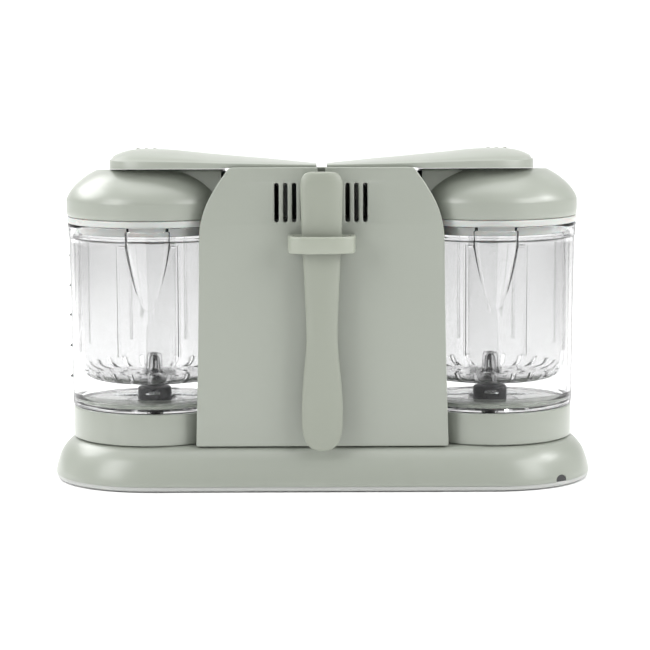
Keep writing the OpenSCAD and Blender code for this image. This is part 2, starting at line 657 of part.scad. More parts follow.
module heater() color([0.3, 0.3, 0.32]) translate([boiler_x, 0, 0]) {
  difference() {
    post(20, 111.2, 6);
    post(11, 110, 9);
  }
  for (y = [-14, 14]) translate([0, y, 0]) post(1.8, 106, 1.8, $fn = 24);
}
module boiler() color(STEEL) translate([boiler_x, 0, 0]) rotate_extrude($fn = 96)
  polygon(boiler_section);
module boiler_cap() color(PALE) translate([boiler_x, 0, 0]) difference() {
  rotate_extrude($fn = 96) polygon(cap_section);
  post(pipe_bore_r, 180, 12, $fn = 32);
}
// riser, square elbow and nozzle
module steam_pipe() color([0.9, 0.9, 0.88]) difference() {
  union() {
    translate([boiler_x, 0, 0]) post(pipe_r, 189.2, nozzle_z - 192.5, $fn = 48);
    box([boiler_x - 4.6, -4.6, nozzle_z - 4.6], [9.2, 9.2, 9]);
    rod_x(boiler_x + pipe_r, nozzle_z, pipe_r, 31.2, $fn = 48);
  }
  translate([boiler_x, 0, 0]) post(pipe_bore_r, 188, nozzle_z - 188, $fn = 32);
  rod_x(boiler_x, nozzle_z, pipe_bore_r, 50, $fn = 32);
}

base_shell();
bottom_plate();
feet();
screws();
column_shell();
rear_panel();
front_panel();
spatula_ring();
spatula();
chassis();
control_board();
button_switches();
indicator_rings();
lid_switches();
power_cord();
both() seat_ring();  // seat_rings
both() hinge_pin();  // hinge_pins
both() drive_bush();  // drive_bushes
both() drive_belt();  // drive_belts
both() motor();  // motors
both() heater();  // heaters
both() boiler();  // boilers
both() boiler_cap();  // boiler_caps
both() steam_pipe();  // steam_pipes
button_a();
button_b();
button_c();
button_d();
left() arm_cover();  // arm_cover_l
arm_cover();  // arm_cover_r
left() arm_dome();  // arm_dome_l
arm_dome();  // arm_dome_r
left() latch();  // latch_l
latch();  // latch_r
left() steam_gasket();  // steam_gasket_l
steam_gasket();  // steam_gasket_r
left() lid();  // lid_l
lid();  // lid_r
left() lid_seal();  // lid_seal_l
lid_seal();  // lid_seal_r
bowl_at(-1);  // bowl_l
bowl_at(1);  // bowl_r
left() basket();  // basket_l
basket();  // basket_r
left() blade_hub();  // blade_hub_l
blade_hub();  // blade_hub_r
left() blades();  // blades_l
blades();  // blades_r
left() blade_dog();  // blade_dog_l
blade_dog();  // blade_dog_r
left() drive_dog();  // drive_dog_l
drive_dog();  // drive_dog_r
left() drive_shaft();  // drive_shaft_l
drive_shaft();  // drive_shaft_r
left() drive_pulley();  // drive_pulley_l
drive_pulley();  // drive_pulley_r
left() motor_spindle();  // motor_spindle_l
motor_spindle();  // motor_spindle_r
left() motor_pulley();  // motor_pulley_l
motor_pulley();  // motor_pulley_r
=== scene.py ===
"""Food processor with two bowls side by side on one base, a column between them and an arm
over each bowl.

X runs across the machine with the bowls at +-AXIS_X, Z is up from the table, and the buttons
and bowl handles face +Y. The camera looks from -Y at the rear panel and the spatula. Shapes are
worked out in millimetres and become metres when a mesh is made. Paired pieces are built on
the +X side ("_r") and copied to -X ("_l").
"""
import bpy
import bmesh
import json
import math
from mathutils import Vector, Matrix


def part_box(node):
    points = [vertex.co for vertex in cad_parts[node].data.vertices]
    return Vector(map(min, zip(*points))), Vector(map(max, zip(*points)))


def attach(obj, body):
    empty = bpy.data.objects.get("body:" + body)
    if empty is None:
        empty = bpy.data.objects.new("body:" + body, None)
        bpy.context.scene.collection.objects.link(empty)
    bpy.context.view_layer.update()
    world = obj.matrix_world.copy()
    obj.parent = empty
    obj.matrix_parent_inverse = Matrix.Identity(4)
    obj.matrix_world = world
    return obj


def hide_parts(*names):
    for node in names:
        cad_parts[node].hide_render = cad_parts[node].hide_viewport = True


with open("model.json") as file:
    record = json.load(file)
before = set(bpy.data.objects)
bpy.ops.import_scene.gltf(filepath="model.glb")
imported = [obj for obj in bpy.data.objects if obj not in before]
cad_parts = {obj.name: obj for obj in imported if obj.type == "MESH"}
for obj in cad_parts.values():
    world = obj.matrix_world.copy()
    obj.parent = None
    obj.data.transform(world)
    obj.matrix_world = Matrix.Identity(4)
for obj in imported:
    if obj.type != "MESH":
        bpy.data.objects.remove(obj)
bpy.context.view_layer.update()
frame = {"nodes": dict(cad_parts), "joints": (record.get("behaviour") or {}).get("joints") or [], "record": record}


# ---------------------------------------------------------------- places read from the CAD frame
MM = 1000.0  # millimetres in a metre


def box_mm(node):
    low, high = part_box(node)
    return low * MM, high * MM


def centre_mm(node):
    low, high = box_mm(node)
    return (low + high) / 2


AXIS_X = centre_mm("drive_shaft_r").x
BOWL_AXIS = (AXIS_X, 0)
BASE_TOP = box_mm("base_shell")[1]
DECK_Z = 30.7 if BASE_TOP.z < 31.2 else BASE_TOP.z - 0.02
BASE_RADIUS = BASE_TOP.y  # round each bowl axis
REAR_LOW, REAR_HIGH = box_mm("rear_panel")
FRONT_LOW, FRONT_HIGH = box_mm("front_panel")
RING_LOW, RING_HIGH = box_mm("spatula_ring")
LATCH_LOW, LATCH_HIGH = box_mm("latch_r")

hinge = next(j for j in frame["joints"] if j["name"] == "arm_r_hinge")
HINGE_X = hinge["pos_m"][0] * MM
HINGE_Z = 225.0
hinge_axis = Vector(hinge["axis"]).normalized()
SLOPE_SIN, SLOPE_COS = hinge_axis.z, abs(hinge_axis.y)
PIVOT_Y, PIVOT_Z = -57, 229  # line along X about which the arm tops are tilted
FOOT_PLACES = [(-152, 40), (152, 40), (-152, -40), (152, -40), (0, 0)]


def tilt(point):
    """Carries a point of the sloping deck frame into the machine's frame."""
    x, y, z = point
    dy, dz = y - PIVOT_Y, z - PIVOT_Z
    return (x, PIVOT_Y + dy * SLOPE_COS + dz * SLOPE_SIN,
            PIVOT_Z - dy * SLOPE_SIN + dz * SLOPE_COS)


# ---------------------------------------------------------------- materials
def add_node(tree, kind, **values):
    """A shader node; values are inputs by name, with _ for a space."""
    node = tree.nodes.new("ShaderNode" + kind)
    for name, value in values.items():
        node.inputs[name.replace("_", " ")].default_value = value
    return node


def node_of_type(tree, kind):
    return next(n for n in tree.nodes if n.type == kind)


def surface(name, color, roughness, noise_scale=60.0, color_drift=0.03,
            roughness_drift=0.06, grain=0.03, grain_scale=900.0):
    """Principled material whose colour and roughness drift with noise, with a fine bump grain."""
    material = bpy.data.materials.new(name)
    material.use_nodes = True
    tree = material.node_tree
    link = tree.links.new
    shader = node_of_type(tree, "BSDF_PRINCIPLED")
    place = add_node(tree, "TexCoord").outputs["Object"]

    color_noise = add_node(tree, "TexNoise", Scale=noise_scale, Detail=3.0)
    link(place, color_noise.inputs["Vector"])
    ramp = add_node(tree, "ValToRGB")
    dark, light = ramp.color_ramp.elements[0], ramp.color_ramp.elements[1]
    dark.position, light.position = 0.3, 0.7
    dark.color = tuple(c * (1 - color_drift) for c in color) + (1,)
    light.color = tuple(min(1, c * (1 + color_drift)) for c in color) + (1,)
    link(color_noise.outputs["Fac"], ramp.inputs["Fac"])
    link(ramp.outputs["Color"], shader.inputs["Base Color"])

    rough_range = add_node(tree, "MapRange", To_Min=max(0.0, roughness - roughness_drift),
                           To_Max=roughness + roughness_drift)
    rough_noise = add_node(tree, "TexNoise", Scale=noise_scale * 2.3)
    link(place, rough_noise.inputs["Vector"])
    link(rough_noise.outputs["Fac"], rough_range.inputs["Value"])
    link(rough_range.outputs["Result"], shader.inputs["Roughness"])

    if grain > 0:
        grain_noise = add_node(tree, "TexNoise", Scale=grain_scale, Detail=2.0)
        link(place, grain_noise.inputs["Vector"])
        bump = add_node(tree, "Bump", Strength=grain, Distance=0.0001)
        link(grain_noise.outputs["Fac"], bump.inputs["Height"])
        link(bump.outputs["Normal"], shader.inputs["Normal"])
    return material, tree, shader


def plastic(name, color, roughness, specular=0.5, coat=0.0, coat_roughness=0.3, **drift):
    material, _, shader = surface(name, color, roughness, **drift)
    shader.inputs["Specular IOR Level"].default_value = specular
    shader.inputs["Coat Weight"].default_value = coat
    shader.inputs["Coat Roughness"].default_value = coat_roughness
    return material


def metal(name, color, roughness, **drift):
    material, _, shader = surface(name, color, roughness, **drift)
    shader.inputs["Metallic"].default_value = 1.0
    return material


def clear(name, color, roughness, ior, specular, rim, edge, **drift):
    """Clear plastic: rim is the painted shade colour its walls take when seen edge-on, edge the strength of its
    painted grey outline standing for the dark refracted edge.
    """
    material, tree, shader = surface(name, color, roughness, **drift)
    link = tree.links.new
    shader.inputs["Transmission Weight"].default_value = 1.0
    shader.inputs["IOR"].default_value = ior
    shader.inputs["Specular Tint"].default_value = (specular, specular, specular, 1)

    # painted light and shade: the wall takes the rim colour where it is seen edge-on, in place of the refraction
    # there
    facing = add_node(tree, "LayerWeight", Blend=0.5).outputs["Facing"]
    rise = add_node(tree, "MapRange", From_Min=0.55, From_Max=0.98)
    rise.interpolation_type = "SMOOTHSTEP"
    link(facing, rise.inputs["Value"])
    edge_on_shade_mix = add_node(tree, "Mix")
    edge_on_shade_mix.data_type = "RGBA"
    wall_color, edge_on_shade_color, edge_on_shade_result = edge_on_shade_mix.inputs[6], edge_on_shade_mix.inputs[7], edge_on_shade_mix.outputs[2]
    link(rise.outputs["Result"], edge_on_shade_mix.inputs[0])
    link(shader.inputs["Base Color"].links[0].from_socket, wall_color)
    edge_on_shade_color.default_value = tuple(rim) + (1,)
    link(edge_on_shade_result, shader.inputs["Base Color"])

    # painted shade: upright walls darken to a grey line at their very edge, in place of the dark refracted edge
    split = add_node(tree, "SeparateXYZ")
    normal = add_node(tree, "NewGeometry").outputs["Normal"]
    link(normal, split.inputs["Vector"])
    level = add_node(tree, "Math")
    level.operation = "ABSOLUTE"
    link(split.outputs["Z"], level.inputs[0])
    upright = add_node(tree, "MapRange", From_Min=0.75, From_Max=0.93, To_Min=edge, To_Max=0.0)
    link(level.outputs[0], upright.inputs["Value"])
    outline = add_node(tree, "MapRange", From_Min=0.70, From_Max=0.94)
    outline.interpolation_type = "SMOOTHSTEP"
    link(facing, outline.inputs["Value"])
    edge_shade_amount = add_node(tree, "Math")
    edge_shade_amount.operation = "MULTIPLY"
    link(upright.outputs["Result"], edge_shade_amount.inputs[0])
    link(outline.outputs["Result"], edge_shade_amount.inputs[1])
    grey = add_node(tree, "BsdfPrincipled", Base_Color=(0.16, 0.165, 0.165, 1), Roughness=0.5)
    edge_shaded = add_node(tree, "MixShader")
    link(edge_shade_amount.outputs[0], edge_shaded.inputs[0])
    link(shader.outputs[0], edge_shaded.inputs[1])
    link(grey.outputs[0], edge_shaded.inputs[2])

    # light for shadows passes through the wall, dimmed a little
    path = add_node(tree, "LightPath")
    passing = add_node(tree, "BsdfTransparent", Color=(0.86, 0.865, 0.865, 1))
    final = add_node(tree, "MixShader")
    link(path.outputs["Is Shadow Ray"], final.inputs[0])
    link(edge_shaded.outputs[0], final.inputs[1])
    link(passing.outputs[0], final.inputs[2])
    link(final.outputs[0], node_of_type(tree, "OUTPUT_MATERIAL").inputs["Surface"])
    return material


GREEN = plastic("sage_shell", (0.279, 0.298, 0.260), roughness=0.32, coat=0.14,
                coat_roughness=0.28, noise_scale=6, color_drift=0.004, roughness_drift=0.008,
                grain=0.015, grain_scale=1500)
SOFT_GREEN = plastic("sage_tool", (0.300, 0.320, 0.268), roughness=0.34, specular=0.45,
                     coat=0.1, noise_scale=8, color_drift=0.006, roughness_drift=0.012,
                     grain=0.02, grain_scale=1300)
SPATULA_GREEN = plastic("sage_spatula", (0.256, 0.274, 0.230), roughness=0.38, specular=0.4,
                        coat=0.05, noise_scale=8, color_drift=0.006, roughness_drift=0.012,
                        grain=0.02, grain_scale=1300)
GREY_MARK = plastic("grey_mark", (0.07, 0.07, 0.07), roughness=0.5, noise_scale=20,
                    color_drift=0.02, grain=0.0)
OFF_WHITE = plastic("off_white", (0.42, 0.43, 0.415), roughness=0.35, noise_scale=12,
                    color_drift=0.015, grain=0.02)
LID_WHITE = plastic("lid_white", (0.46, 0.475, 0.455), roughness=0.28, noise_scale=12,
                    color_drift=0.012, grain=0.01)
lid_inputs = LID_WHITE.node_tree.nodes["Principled BSDF"].inputs
lid_inputs["Subsurface Weight"].default_value = 0.25
lid_inputs["Subsurface Scale"].default_value = 0.004
# rim and edge set the painted edge shade: a grey rim and a strong grey outline on the bowl, a lighter rim and a
# faint outline on the basket
CLEAR = clear("clear_bowl", (0.90, 0.901, 0.901), roughness=0.012, ior=1.49, specular=0.35,
              rim=(0.56, 0.565, 0.565), edge=0.75, noise_scale=10, color_drift=0.003,
              roughness_drift=0.008, grain=0.0)
FROSTED = clear("clear_basket", (0.805, 0.806, 0.807), roughness=0.09, ior=1.22, specular=0.5,
                rim=(0.92, 0.92, 0.92), edge=0.12, noise_scale=30, color_drift=0.006,
                roughness_drift=0.04, grain=0.04, grain_scale=700)
BLACK = plastic("black_hub", (0.008, 0.008, 0.009), roughness=0.4, specular=0.22,
                color_drift=0.1, grain=0.04)
RUBBER = plastic("dark_rubber", (0.035, 0.035, 0.036), roughness=0.62, noise_scale=120,
                 color_drift=0.12, grain=0.15, grain_scale=1800)
SILICONE = plastic("silicone", (0.78, 0.79, 0.77), roughness=0.5, color_drift=0.02, grain=0.05)
STEEL = metal("ground_steel", (0.66, 0.67, 0.68), roughness=0.26, noise_scale=220,
              color_drift=0.05, roughness_drift=0.08, grain=0.06, grain_scale=2600)
ZINC = metal("zinc_plate", (0.50, 0.51, 0.52), roughness=0.42, noise_scale=90,
             color_drift=0.08, roughness_drift=0.1, grain=0.05)
HEATER = metal("heater_alloy", (0.16, 0.16, 0.17), roughness=0.55, noise_scale=140,
               color_drift=0.15, grain=0.2)
BRONZE = metal("sintered_bronze", (0.52, 0.36, 0.17), roughness=0.48, noise_scale=300,
               color_drift=0.12, grain=0.12, grain_scale=2400)
BOARD = plastic("circuit_board", (0.035, 0.16, 0.07), roughness=0.45, noise_scale=160,
                color_drift=0.2, grain=0.08)

MATERIAL_OF_SLOT = {
    "shell_green": GREEN, "soft_green": SOFT_GREEN, "pale_plastic": OFF_WHITE,
    "clear_plastic": CLEAR, "black_plastic": BLACK, "rubber": RUBBER, "cord_rubber": RUBBER,
    "silicone": SILICONE, "steel": STEEL, "zinc_steel": ZINC, "heater_alloy": HEATER,
    "bronze": BRONZE, "board": BOARD}
slot_of_node = {s["node"]: s.get("material_slot") for s in frame["record"]["subparts"]}
for node_name, cad_piece in frame["nodes"].items():
    cad_piece.data.materials.clear()
    cad_piece.data.materials.append(MATERIAL_OF_SLOT[slot_of_node[node_name]])


# ---------------------------------------------------------------- curves and outlines
def smooth_curve(points, steps):
    """Catmull-Rom curve through the points, with the given steps to a span."""
    curve = []
    for i in range(len(points) - 1):
        quad = (points[max(i - 1, 0)], points[i], points[i + 1],
                points[min(i + 2, len(points) - 1)])
        for step in range(steps):
            t = step / steps
            curve.append(tuple(
                0.5 * (2 * b + (c - a) * t + (2 * a - 5 * b + 4 * c - d) * t * t
                       + (3 * b - a - 3 * c + d) * t ** 3)
                for a, b, c, d in zip(*quad)))
    curve.append(tuple(points[-1]))
    return curve


def interpolate(table, x):
    """Value at x of the straight-line graph through (x, value) rows; flat beyond its ends."""
    if x <= table[0][0]:
        return table[0][1]
    for (x0, v0), (x1, v1) in zip(table, table[1:]):
        if x <= x1:
            return v0 + (v1 - v0) * (x - x0) / (x1 - x0)
    return table[-1][1]


def clamp(value):
    return max(0, min(1, value))


def signed_power(value, power):
    return math.copysign(abs(value) ** power, value)


def circle(centre_x, centre_y, radius, count):
    return [(centre_x + radius * math.cos(2 * math.pi * i / count),
             centre_y + radius * math.sin(2 * math.pi * i / count)) for i in range(count)]


def spin(x, y, z, degrees, centre=BOWL_AXIS):
    """Turns a point about the vertical and moves it out to the centre."""
    turn = math.radians(degrees)
    return (centre[0] + x * math.cos(turn) - y * math.sin(turn),
            centre[1] + x * math.sin(turn) + y * math.cos(turn), z)


def stadium(radius, z, steps=56):
    """Level ring of a half circle round each bowl axis."""
    ring = []
    for side, start in ((1, -90), (-1, 90)):
        for i in range(steps + 1):
            turn = math.radians(start + 180 * i / steps)
            ring.append((side * AXIS_X + radius * math.cos(turn), radius * math.sin(turn), z))
    return ring


# ---------------------------------------------------------------- shapes, as (verts, faces)
def moved(shape, place):
    verts, faces = shape
    return [place(p) for p in verts], faces


def lathe(profile, segments, centre=BOWL_AXIS, closed=True):
    """(radius, z) profile turned about a vertical axis; closed joins its last point to its first."""
    verts, faces, rows = [], [], []
    for radius, z in profile:
        if radius < 1e-6:
            rows.append([len(verts)] * segments)
            verts.append((centre[0], centre[1], z))
        else:
            rows.append(list(range(len(verts), len(verts) + segments)))
            verts += [(x, y, z) for x, y in circle(*centre, radius, segments)]
    count = len(rows)
    for row in range(count if closed else count - 1):
        lower, upper = rows[row], rows[(row + 1) % count]
        for i in range(segments):
            j = (i + 1) % segments
            # repeats drop out where a row is a single point on the axis
            face = tuple(dict.fromkeys((lower[i], lower[j], upper[j], upper[i])))
            if len(face) > 2:
                faces.append(face)
    return verts, faces


def lathe_y(profile, segments, at_x, at_y, at_z):
    """(radius, y) profile turned about an axis along Y."""
    return moved(lathe(profile, segments, (0, 0)),
                 lambda p: (at_x + p[0], at_y + p[2], at_z - p[1]))


def cylinder(radius, z0, z1, segments, centre=BOWL_AXIS):
    return lathe([(0, z0), (radius, z0), (radius, z1), (0, z1)], segments, centre)


def loft(stations, cap=True):
    """Closed rings of equal count joined in order."""
    verts = [tuple(p) for ring in stations for p in ring]
    faces = []
    count = len(stations[0])
    last = (len(stations) - 1) * count
    for start in range(0, last, count):
        for i in range(count):
            j = (i + 1) % count
            faces.append((start + i, start + j, start + count + j, start + count + i))
    if cap:
        faces.append(tuple(range(count - 1, -1, -1)))
        faces.append(tuple(last + i for i in range(count)))
    return verts, faces


def block(x0, x1, y0, y1, z0, z1, radius, segments=2):
    """A block with rounded edges."""
    bm = bmesh.new()
    bmesh.ops.create_cube(bm, size=1.0)
    for v in bm.verts:
        v.co = Vector((x0 + (v.co.x + .5) * (x1 - x0), y0 + (v.co.y + .5) * (y1 - y0),
                       z0 + (v.co.z + .5) * (z1 - z0)))
    if radius > 0:
        bmesh.ops.bevel(bm, geom=list(bm.edges), offset=radius, segments=segments,
                        profile=0.5, affect="EDGES")
    bm.verts.index_update()
    shape = ([tuple(v.co) for v in bm.verts],
             [tuple(v.index for v in f.verts) for f in bm.faces])
    bm.free()
    return shape


def block_round_axis(degrees, *block_values):
    """A block laid out from the origin, turned and moved to the bowl axis."""
    return moved(block(*block_values), lambda p: spin(*p, degrees))


# ---------------------------------------------------------------- objects
def tidy(ob, merge):
    """Merges points closer than merge (mm) and turns the faces outwards."""
    bm = bmesh.new()
    bm.from_mesh(ob.data)
    bmesh.ops.remove_doubles(bm, verts=bm.verts, dist=merge / MM)
    bmesh.ops.dissolve_degenerate(bm, edges=bm.edges, dist=1e-7)
    bmesh.ops.recalc_face_normals(bm, faces=bm.faces)
    bm.to_mesh(ob.data)
    bm.free()


def shade(ob, angle):
    """Smooth shading with edges over the angle (degrees) kept sharp."""
    ob.data.shade_smooth()
    ob.data.set_sharp_from_angle(angle=math.radians(angle))


def link_object(name, data):
    ob = bpy.data.objects.new(name, data)
    bpy.context.scene.collection.objects.link(ob)
    return ob


def make(name, shapes, material, sharp=35, merge=0.01):
    """One object from a list of shapes."""
    all_verts, all_faces = [], []
    for verts, faces in shapes:
        start = len(all_verts)
        all_verts += verts
        all_faces += [tuple(i + start for i in face) for face in faces]
    mesh = bpy.data.meshes.new(name)
    mesh.from_pydata([(x / MM, y / MM, z / MM) for x, y, z in all_verts], [], all_faces)
    ob = link_object(name, mesh)
    tidy(ob, merge)
    mesh.materials.append(material)
    shade(ob, sharp)
    return ob


def helper(shapes):
    """A short-lived object for a boolean."""
    return make("cut", shapes, GREEN, merge=0.001)


def boolean(ob, other, operation):
    """Applies a boolean and removes the other object."""
    modifier = ob.modifiers.new("b", "BOOLEAN")
    modifier.operation = operation
    modifier.solver = "EXACT"
    modifier.object = other
    graph = bpy.context.evaluated_depsgraph_get()
    mesh = bpy.data.meshes.new_from_object(ob.evaluated_get(graph))
    ob.modifiers.clear()
    old = ob.data
    ob.data = mesh
    bpy.data.meshes.remove(old)
    bpy.data.objects.remove(other)


def cut(ob, shapes):
    boolean(ob, helper(shapes), "DIFFERENCE")


def weld(ob, shapes):
    boolean(ob, helper(shapes), "UNION")


def plate(name, loops, thickness, bevel, place, material, resolution=3):
    """Flat plate from closed 2-D loops, the outline first and then the holes.

    place maps (u, v, w), w across the thickness, to a point.
    """
    curve = bpy.data.curves.new(name, "CURVE")
    curve.dimensions = "2D"
    curve.fill_mode = "BOTH"
    curve.extrude = thickness / 2 - bevel
    curve.bevel_depth = bevel
    curve.bevel_resolution = resolution
    curve.offset = -bevel
    for loop in loops:
        spline = curve.splines.new("POLY")
        spline.points.add(len(loop) - 1)
        for point, (u, v) in zip(spline.points, loop):
            point.co = (u, v, 0, 1)
        spline.use_cyclic_u = True
    source = link_object(name + "_c", curve)
    bpy.context.view_layer.update()
    graph = bpy.context.evaluated_depsgraph_get()
    mesh = bpy.data.meshes.new_from_object(source.evaluated_get(graph))
    bpy.data.objects.remove(source)
    ob = link_object(name, mesh)
    for v in mesh.vertices:
        v.co = Vector(place(v.co.x, v.co.y, v.co.z + thickness / 2)) / MM
    tidy(ob, 0.02)
    mesh.materials.clear()
    mesh.materials.append(material)
    shade(ob, 40)
    return ob


def fit(ob, node, axes="xyz"):
    """Stretches the object so that its box is the CAD node's along the axes."""
    low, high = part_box(node)
    verts = ob.data.vertices
    for axis in ("xyz".index(letter) for letter in axes):
        start = min(v.co[axis] for v in verts)
        end = max(v.co[axis] for v in verts)
        stretch = (high[axis] - low[axis]) / (end - start)
        for v in verts:
            v.co[axis] = low[axis] + (v.co[axis] - start) * stretch


def stand(ob, body, node):
    """The object moves with the body and takes the CAD node's place."""
    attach(ob, body)
    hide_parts(node)


def twin(ob, mirror=True):
    """The -X copy of a +X piece: mirrored, or moved over unmirrored."""
    mesh = ob.data.copy()
    copy = link_object(ob.name[:-2] + "_l", mesh)
    if mirror:
        mesh.transform(Matrix.Scale(-1, 4, (1, 0, 0)))
        mesh.flip_normals()
    else:
        mesh.transform(Matrix.Translation((-2 * AXIS_X / MM, 0, 0)))
    return copy


def stand_pair(ob, node, body, mirror=True):
    """Makes the -X twin, then both stand for their CAD nodes."""
    left = twin(ob, mirror)
    stand(ob, body + "_r", node + "_r")
    stand(left, body + "_l", node + "_l")


# ---------------------------------------------------------------- base
def build_base_shell():
    under_deck = DECK_Z - 2.6
    # (distance in from the base radius, z), from the bottom edge up over the shoulder
    outer = [(0, 4.2), (.2, 7), (.8, 10), (2, 14.2), (3.7, 18.6), (6.1, 22.8), (9.5, 26.8),
             (12.5, 29.1), (15.6, 30.4), (19.1, DECK_Z), (22.1, DECK_Z)]
    # (radius, z), from under the deck out and down to the bottom edge
    inner = [(50, under_deck), (55.6, 27.7), (58.4, 26.6), (61.2, 24.6), (64, 21.4),
             (66.3, 17), (68, 12), (69.3, 7), (69.5, 4.2)]
    profile = ([(8, under_deck), (30, under_deck)] + smooth_curve(inner, 2)
               + smooth_curve([(BASE_RADIUS - d, z) for d, z in outer], 4)
               + [(40, DECK_Z), (25, DECK_Z), (8, DECK_Z)])
    base = make("base_body", [loft([stadium(r, z) for r, z in profile])], GREEN, 30)
    # a round hole at each bowl axis and an opening between them
    cut(base, [cylinder(9.05, 17, 33, 64, (side * AXIS_X, 0)) for side in (-1, 1)]
        + [block(-44, 44, -34, 34, 24, 36, 3, 3)])

    # arched notch in the bottom edge, at the -Y side of the +X end
    half, spring, rise = 5, 1.2, 3.6
    arch = [(-half, -spring), (-half, spring)]
    arch += [(half * math.cos(math.radians(t)), spring + rise * math.sin(math.radians(t)))
             for t in range(165, 0, -15)]
    arch += [(half, spring), (half, -spring)]
    cut(base, [loft([[spin(depth, across, 4.2 + up, -48.6, (AXIS_X + 47.4, -53.6))
                      for across, up in arch] for depth in (-14, 12)])])
    shade(base, 30)
    stand(base, "base", "base_shell")


def build_tray():
    # (radius round the bowl axes, z)
    profile = [(8, 4.15), (60, 4.15), (71.4, 4.15), (71.6, 3.9), (71.6, 2.4), (71.4, 1.6),
               (71.0, 1.05), (70.4, 0.8), (60, 0.8), (8, 0.8)]
    tray = make("base_tray", [loft([stadium(r, z) for r, z in profile])], OFF_WHITE, 30)
    stepped_hole = [(0, 0), (3.8, 0), (3.8, 2.4), (1.9, 2.4), (1.9, 6), (0, 6)]
    hole_places = [(-AXIS_X, 54), (AXIS_X, 54), (-AXIS_X, -54), (AXIS_X, -54), (0, 58), (0, -58)]
    cutters = [lathe(stepped_hole, 40, place) for place in hole_places]
    cutters += [cylinder(8.1, 0, 1.8, 48, place) for place in FOOT_PLACES]
    for side in (-1, 1):
        for i in range(-2, 3):
            slot_x = side * 30 + i * 7
            cutters.append(block(slot_x - 1.5, slot_x + 1.5, -14, 14, -1, 7, 1.2, 3))
    cut(tray, cutters)
    shade(tray, 30)
    fit(tray, "bottom_plate")
    stand(tray, "base", "bottom_plate")


def build_feet():
    profile = [(0, 0.25), (5.6, 0.25), (5.9, 0), (7.2, 0), (7.6, 0.2), (7.75, 0.55), (8, 0.7),
               (8, 1.75), (0, 1.75)]
    feet = make("foot_pads", [lathe(profile, 56, place) for place in FOOT_PLACES], RUBBER, 30)
    fit(feet, "feet")
    stand(feet, "base", "feet")


def build_seat_rings():
    profile = [(55.6, 30.8), (57, 30.8), (57, 31.3), (58.3, 31.3), (58.6, 31.7), (58.6, 40),
               (58.6, 52.3), (58.45, 52.85), (57.9, 53.2), (40, 53.2), (21.7, 53.2),
               (21.1, 52.7), (21.1, 50.2), (40, 50.2), (55.6, 50.2)]
    right = make("seat_ring_look_r", [lathe(profile, 160)], GREEN, 30)
    # three notches in the inner edge
    cut(right, [block_round_axis(degrees, 18, 24.6, -3.4, 3.4, 48, 56, 0.5)
                for degrees in (46, 166, 286)])
    shade(right, 30)
    left = twin(right)
    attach(right, "base")
    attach(left, "base")
    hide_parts("seat_rings")


# ---------------------------------------------------------------- column
# (x, z) up the +X side of the casing
COLUMN_SIDE = [(89.3, 31), (88.5, 58), (87.3, 100), (86.5, 145), (86.2, 170), (85.9, 181),
               (85.1, 188.1), (83.4, 195.1), (80.9, 202.1), (77.4, 209.1), (73.2, 216.1),
               (68.4, 223.05), (65.4, 226.8), (64.6, 228.2)]
COLUMN_TOP = REAR_HIGH.z + 0.1
BUTTONS = "abcd"


def fillet(loop, distances):
    """Rounds the corners of a closed loop named in {index: distance}."""
    rounded = []
    for i, corner in enumerate(loop):
        distance = distances.get(i)
        if not distance:
            rounded.append(corner)
            continue
        start, end = (
            [c + (n - c) * min(1, distance / math.dist(near, corner))
             for c, n in zip(corner, near)]
            for near in (loop[i - 1], loop[(i + 1) % len(loop)]))
        for j in range(9):
            t = j / 8
            rounded.append(tuple((1 - t) ** 2 * a + 2 * t * (1 - t) * c + t * t * b
                                 for a, c, b in zip(start, corner, end)))
    return rounded


def panel_outline(drop=0.0):
    """(x, z) outline of a casing panel with its top lowered by drop.

    Only the undropped panel has the narrow notch at the middle of its top.
    """
    curve = smooth_curve(COLUMN_SIDE, 3)
    side = [p for p in curve if p[1] <= 223.5]
    top = COLUMN_TOP - drop
    middle = [(4.4, top)]
    if drop:
        lowered = [(x - 0.05, z - drop) for x, z in curve if z >= 176]
        side = [p for p in curve if p[1] < lowered[0][1] - 1] + lowered[:-5]
    else:
        middle += [(2.8, top), (2.8, 224.2)]
    half = side + [(64.55, top)] + middle
    loop = half + [(-x, z) for x, z in reversed(half)]
    corners = {0: 1.6, len(side): 2.6}
    if not drop:
        corners[len(side) + 2] = 1.0
    corners.update({len(loop) - 1 - i: distance for i, distance in corners.items()})
    return fillet(loop, corners)


def vent_outline(centre_x, width, z0, z1, steps=8):
    """Upright slot with round ends."""
    r = width / 2
    return [(centre_x + r * math.cos(start + math.pi * i / steps),
             end_z + r * math.sin(start + math.pi * i / steps))
            for start, end_z in ((math.pi, z0 + r), (0, z1 - r)) for i in range(steps + 1)]


def build_panels():
    thickness = REAR_HIGH.y - REAR_LOW.y
    vents = [vent_outline(-0.5 + (i - 5) * 6.2, 3.1, 190, 217.5) for i in range(11)]
    rear = plate("rear_panel_look", [panel_outline()] + vents, thickness, 0.85,
                 lambda u, v, w: (u, REAR_LOW.y + w, v), GREEN)
    fit(rear, "rear_panel", "y")
    stand(rear, "base", "rear_panel")

    button_centres = [centre_mm("button_" + letter) for letter in BUTTONS]
    holes = [circle(c.x, c.z, 9.2, 64) for c in button_centres]
    front = plate("front_panel_look", [panel_outline(COLUMN_TOP - FRONT_HIGH.z)] + holes,
                  thickness, 0.8, lambda u, v, w: (u, FRONT_LOW.y + w, v), GREEN)
    fit(front, "front_panel", "y")
    stand(front, "base", "front_panel")


def band_outline(half_width, panel_y, outer_y):
    """(x, y) outline, straight at the panel and bowed at the outside."""
    half = smooth_curve([(half_width, panel_y), (half_width, panel_y - 8),
                         (half_width - .9, outer_y + 7.4), (half_width - 4.4, outer_y + 3.4),
                         (half_width - 11.4, outer_y + 0.8), (0, outer_y)], 6)
    return half + [(-x, y) for x, y in reversed(half[:-1])]


